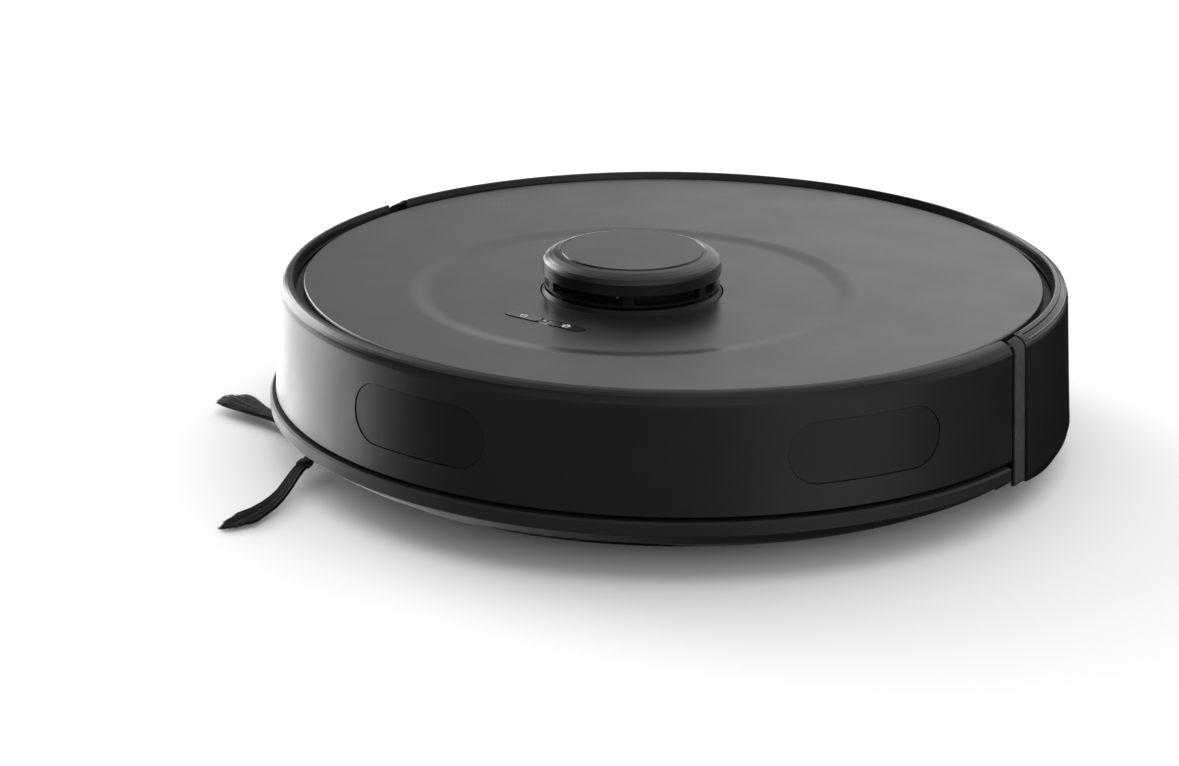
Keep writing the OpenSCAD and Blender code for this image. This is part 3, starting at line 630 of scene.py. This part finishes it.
def make_status_cover():
    """Black cover over the status light, with one thin white dash."""
    mid = middle_of("status_light")
    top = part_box("status_light")[1][2]
    level = top + 0.16 * MM
    cover = Shape()
    soft_block(cover, (mid.x - 1.85 * MM, mid.y - 2.35 * MM, top - 0.02 * MM),
               (mid.x + 1.85 * MM, mid.y + 2.35 * MM, level), 0.08 * MM)
    piece("status_cover", cover, "body", "button_black")
    dash = Shape()
    dash.tube([Vector((mid.x + x * MM, mid.y, level)) for x in (-0.7, 0, 0.7)], 0.13 * MM, 8)
    piece("status_dash", dash, "body", "light_white")


# ---------- seals and beads of the side wall ----------

# Millimetres: the wall leans in from its foot to its top, where the rolled rim starts
WALL_FOOT = 26.7
WALL_TOP = 70
WALL_FOOT_RADIUS = 172.4
WALL_LEAN = 2.3
RIM_CENTRE_RADIUS = 164.1
SEAL_FOOT = 15
SEAL_TOP = 69.5
# Degrees from the end of the rear housing, and how far the seal stands from the wall there
SEAL_SLOPE = ((1.4, -1.1), (1.6, -0.95), (2.4, -0.72), (3.2, -0.5), (3.8, -0.36), (3.95, -0.6))


def wall_at(z):
    """Radius of the side wall at height z, in millimetres."""
    return WALL_FOOT_RADIUS - WALL_LEAN * (z - WALL_FOOT) / (WALL_TOP - WALL_FOOT)


def rim_at(turned, radius):
    """Point of the rolled rim, turned by so many degrees from the wall towards the top."""
    t = math.radians(turned)
    return RIM_CENTRE_RADIUS + radius * math.cos(t), WALL_TOP + radius * math.sin(t)


def make_gap_seals():
    """A soft seal on the rear housing's step, sloping down towards each end of the bumper."""
    for name, sign in (("left", 1), ("right", -1)):
        shape = Shape()
        rings = []
        for degrees, outer in SEAL_SLOPE:
            t = math.radians(degrees)
            out = Vector((sign * math.cos(t), math.sin(t), 0))
            outside = [(wall_at(SEAL_FOOT) + outer - 0.15, SEAL_FOOT)]
            outside += [(wall_at(z) + outer, z) for z in (SEAL_FOOT + 0.6, SEAL_TOP)]
            outside += [rim_at(turned, 6 + outer) for turned in range(10, 81, 10)]
            inside = [rim_at(turned, 4.7) for turned in range(80, 9, -10)]
            inside += [(wall_at(z) - 1.3, z) for z in (SEAL_TOP, SEAL_FOOT)]
            rings.append([out * r * MM + UP * z * MM for r, z in outside + inside])
        shape.loft(rings)
        piece("gap_seal_" + name, shape, "body", "belt_rubber")


def make_rim_beads():
    """Two fine polished beads round the rear housing's rim."""
    for name, turned in (("outer", 38), ("inner", 86)):
        r, z = rim_at(turned, 5.85)
        path = [
            Vector((math.cos(t), math.sin(t), 0)) * r * MM + UP * z * MM
            for t in (math.radians(4.6 + 170.8 * i / 170) for i in range(171))
        ]
        bead = Shape()
        bead.tube(path, 0.5 * MM, 8)
        piece("rim_bead_" + name, bead, "body", "button_black")


# ---------- underside details ----------


def soft_block(shape, low, high, edge):
    """A block with rounded upright corners and softened top and bottom edges."""
    mid = (Vector(low) + Vector(high)) / 2
    half = (Vector(high) - Vector(low)) / 2
    rings = []
    for height, inset in ((-half.z, edge), (-half.z + edge, 0), (half.z - edge, 0), (half.z, edge)):
        ring = []
        for cx, cy, start in ((1, 1, 0), (-1, 1, 90), (-1, -1, 180), (1, -1, 270)):
            for step in range(4):
                t = math.radians(start + 30 * step)
                r = 2 * edge
                ring.append(mid + Vector((
                    cx * (half.x - r) + math.cos(t) * (r - inset),
                    cy * (half.y - r) + math.sin(t) * (r - inset),
                    height,
                )))
        rings.append(ring)
    shape.loft(rings)


# Across the brush lip: offsets from its middle line, and heights, in millimetres
LIP_OUTLINE = ((-1.0, 8.6), (-0.5, 6.0), (0.5, 2.6), (1.0, 2.5), (0.5, 6.0), (1.0, 8.6))


def make_underside():
    """Rubber lip behind the roller, finger latches of its cover and grip ribs on the base."""
    low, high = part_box("brush_cover")
    lip = Shape()
    rings = []
    for i in range(41):
        x = -78 * MM + 156 * MM * i / 40
        ripple = 0.15 * MM * math.sin(i * 1.3)
        y = high[1] - 1.6 * MM + ripple
        rings.append([Vector((x, y + offset * MM, z * MM)) for offset, z in LIP_OUTLINE])
    lip.loft(rings)
    piece("brush_lip", lip, "body", "brush_rubber")
    latches = Shape()
    for x in (-66 * MM, 66 * MM):
        soft_block(latches, (x - 7 * MM, low[1] + 0.3 * MM, low[2] - 0.9 * MM),
                   (x + 7 * MM, low[1] + 3.0 * MM, low[2] + 0.3 * MM), 0.35 * MM)
        for k in range(-2, 3):
            soft_block(latches, (x + (2.2 * k - 0.5) * MM, low[1] + 0.6 * MM, low[2] - 1.4 * MM),
                       (x + (2.2 * k + 0.5) * MM, low[1] + 2.7 * MM, low[2] - 0.7 * MM), 0.2 * MM)
    piece("brush_cover_latches", latches, "body", "roller_rubber")
    ribs = Shape()
    for sign in (-1, 1):
        for k in range(7):
            x = sign * (62 + 4 * k) * MM
            soft_block(ribs, (x - 0.8 * MM, 96 * MM, 8.6 * MM),
                       (x + 0.8 * MM, 122 * MM, 9.2 * MM), 0.25 * MM)
    piece("base_grip_ribs", ribs, "body", "chassis_black")


# ---------- inside details ----------


# Shares of the battery's depth, and how far the wrap draws in there
BATTERY_ENDS = ((0.0, 0.12), (0.012, 0.04), (0.04, 0.0), (0.96, 0.0), (0.988, 0.04), (1.0, 0.12))
BATTERY_CELLS = 6


def make_battery():
    """Cells side by side under one shrink wrap, which dips between them."""
    low, high = (Vector(v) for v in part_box("battery"))
    pitch = (high.x - low.x) / BATTERY_CELLS
    mid_z = (low.z + high.z) / 2
    half_z = (high.z - low.z) / 2
    outline = []
    for side in (1, -1):
        for k in range(BATTERY_CELLS)[::side]:
            for step in range(9):
                share = step / 8 if side > 0 else 1 - step / 8
                x = low.x + (k + share) * pitch
                dip = 1.6 * MM * (2 * share - 1) ** 4
                corner = 0.0
                if (k == 0 and share < 0.5) or (k == BATTERY_CELLS - 1 and share > 0.5):
                    corner = half_z * 0.55 * (2 * abs(share - 0.5)) ** 5
                outline.append((x, mid_z + side * (half_z - dip - corner)))
    shape = Shape()
    depth = high.y - low.y
    rings = []
    for y, inset in BATTERY_ENDS:
        rings.append([
            Vector((x * (1 - inset * 0.1), low.y + depth * y, mid_z + (z - mid_z) * (1 - inset)))
            for x, z in outline
        ])
    shape.loft(rings)
    piece("battery_pack", shape, "body", "battery_wrap", "battery")


def make_board_parts():
    low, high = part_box("main_board")
    top = low[2] + 1.6 * MM
    chips = Shape()
    rng = random.Random(3)
    for i in range(26):
        x = low[0] + (6 + 4.6 * i) * MM
        y = low[1] + (2.2 + rng.uniform(0, 2.2)) * MM
        soft_block(chips, (x - 0.9 * MM, y - 0.6 * MM, top - 0.1 * MM),
                   (x + 0.9 * MM, y + 0.6 * MM, top + 0.9 * MM), 0.12 * MM)
    piece("board_chips", chips, "body", "chassis_black")
    plugs = Shape()
    for k in range(5):
        x = low[0] + (14 + 25 * k) * MM
        soft_block(plugs, (x - 5 * MM, low[1] + 21.5 * MM, top - 0.1 * MM),
                   (x + 5 * MM, low[1] + 26 * MM, top + 5.5 * MM), 0.3 * MM)
    piece("board_plugs", plugs, "body", "nylon_white")


# Height and radius in millimetres, and whether the ring is six-sided
SCREW_OUTLINE = (
    (3.9, 2.4, False), (3.3, 2.5, False), (2.7, 2.1, False),
    (2.5, 1.6, False), (2.5, 1.15, True), (3.4, 1.1, True),
)


def make_brush_screw():
    """Pan-head screw with a six-sided recess, under the side brush's hub."""
    axis = middle_of("side_brush_hub")
    shape = Shape()
    rings = []
    for z, r, hexed in SCREW_OUTLINE:
        ring = []
        for j in range(24):
            t = 2 * math.pi * j / 24
            flat = math.cos(math.pi / 6) / math.cos((t % (math.pi / 3)) - math.pi / 6) if hexed else 1.0
            offset = Vector((math.cos(t), math.sin(t), 0)) * r * flat * MM
            ring.append(Vector((axis.x, axis.y, z * MM)) + offset)
        rings.append(ring)
    shape.loft(rings)
    piece("side_brush_screw", shape, "side_brush", "screw_steel")


# ---------- floor and light ----------


def make_floor():
    bpy.ops.mesh.primitive_circle_add(vertices=96, radius=7, fill_type="NGON")
    floor = bpy.context.object
    floor.name = "floor"
    s = Shader("floor")
    s.colour(s.blend(s.span(s.noise(2.5, 3), 0, 1), (0.86, 0.86, 0.86), (0.88, 0.88, 0.88)))
    s.set(Roughness=0.9, Specular_IOR_Level=0.05)
    floor.data.materials.append(s.mat)
    floor.visible_glossy = False


# Directions of the bright parts of the room
LEFT_BACK = -ASIDE * 0.68 - TOWARDS * 0.73
RIGHT_FRONT = ASIDE * 0.72 + TOWARDS * 0.69
# Strengths: pairs go from left to right, from front to back, and from back to front
SKY_ACROSS = (0.2, 1.4)
SKY_BACK = (0.5, 1.0)
GROUND = (0.0, 0.25)
FRONT_FILL = 1.0
LEFT_GLOW_LOW = 6.0
LEFT_GLOW_HIGH = 3.6
RIGHT_GLOW = 1.3
SUN_STRENGTH = 1.5
SUN_ANGLE = math.radians(86)
SUN_FROM = UP - TOWARDS * 0.22 + ASIDE * 0.06
PANEL_PLACE = -ASIDE - TOWARDS + UP * 0.45
PANEL_SIDE = 0.8
PANEL_WATTS = 9


def make_world():
    """A studio that brightens to the right and the back, with glows at the back left and front right."""
    world = bpy.data.worlds.new("studio")
    world.use_nodes = True
    tree = world.node_tree
    background = tree.nodes["Background"]
    background.inputs["Color"].default_value = (1, 1, 1, 1)
    direction = tree.nodes.new("ShaderNodeTexCoord").outputs["Generated"]

    def facing(way, low, high, out_low, out_high):
        """Strength that rises from out_low to out_high as the direction turns towards way."""
        dot = tree.nodes.new("ShaderNodeVectorMath")
        dot.operation = "DOT_PRODUCT"
        tree.links.new(direction, dot.inputs[0])
        dot.inputs[1].default_value = way.normalized()
        node = tree.nodes.new("ShaderNodeMapRange")
        node.interpolation_type = "SMOOTHSTEP"
        limits = {"From Min": low, "From Max": high, "To Min": out_low, "To Max": out_high}
        for name, number in limits.items():
            node.inputs[name].default_value = number
        tree.links.new(dot.outputs["Value"], node.inputs["Value"])
        return node.outputs["Result"]

    def joined(operation, a, b):
        node = tree.nodes.new("ShaderNodeMath")
        node.operation = operation
        tree.links.new(a, node.inputs[0])
        tree.links.new(b, node.inputs[1])
        return node.outputs["Value"]

    sky = joined("MULTIPLY", facing(ASIDE, -0.3, 0.3, *SKY_ACROSS), facing(-TOWARDS, -0.8, 0.3, *SKY_BACK))
    sky = joined("ADD", sky, facing(LEFT_BACK + UP * 0.45, 0.88, 0.99, 0, LEFT_GLOW_HIGH))
    sky = joined("ADD", sky, facing(TOWARDS + UP * 0.2, 0.3, 0.95, 0, FRONT_FILL))
    sky = joined("MULTIPLY", sky, facing(UP, 0.4, 0.95, 1, 0.35))
    ground = facing(TOWARDS, -0.7, 0.6, *GROUND)
    ground = joined("ADD", ground, facing(LEFT_BACK, 0.5, 0.98, 0, LEFT_GLOW_LOW))
    ground = joined("ADD", ground, facing(RIGHT_FRONT - UP * 0.3, 0.84, 0.99, 0, RIGHT_GLOW))
    mix = tree.nodes.new("ShaderNodeMix")
    tree.links.new(facing(UP, -0.08, 0.05, 0, 1), mix.inputs["Factor"])
    tree.links.new(ground, mix.inputs["A"])
    tree.links.new(sky, mix.inputs["B"])
    tree.links.new(mix.outputs["Result"], background.inputs["Strength"])
    SCENE.world = world


def add_lamp(light, turn, place=(0, 0, 0)):
    lamp = bpy.data.objects.new(light.name, light)
    SCENE.collection.objects.link(lamp)
    lamp.location = place
    lamp.rotation_euler = turn.to_euler()


def make_light():
    make_world()
    sun = bpy.data.lights.new("overhead", "SUN")
    sun.energy = SUN_STRENGTH
    sun.angle = SUN_ANGLE
    add_lamp(sun, SUN_FROM.to_track_quat("Z", "Y"))
    panel = bpy.data.lights.new("left_panel", "AREA")
    panel.energy = PANEL_WATTS
    panel.size = PANEL_SIDE
    body_middle = UP * 0.05
    add_lamp(panel, (body_middle - PANEL_PLACE).to_track_quat("-Z", "Y"), PANEL_PLACE)
    SCENE.view_settings.view_transform = "Standard"


make_camera()
MATERIALS = make_materials()
make_side_brush()
make_roller()
make_springs()
make_icons()
make_status_cover()
make_gap_seals()
make_rim_beads()
make_underside()
make_battery()
make_board_parts()
make_brush_screw()
make_floor()
make_light()
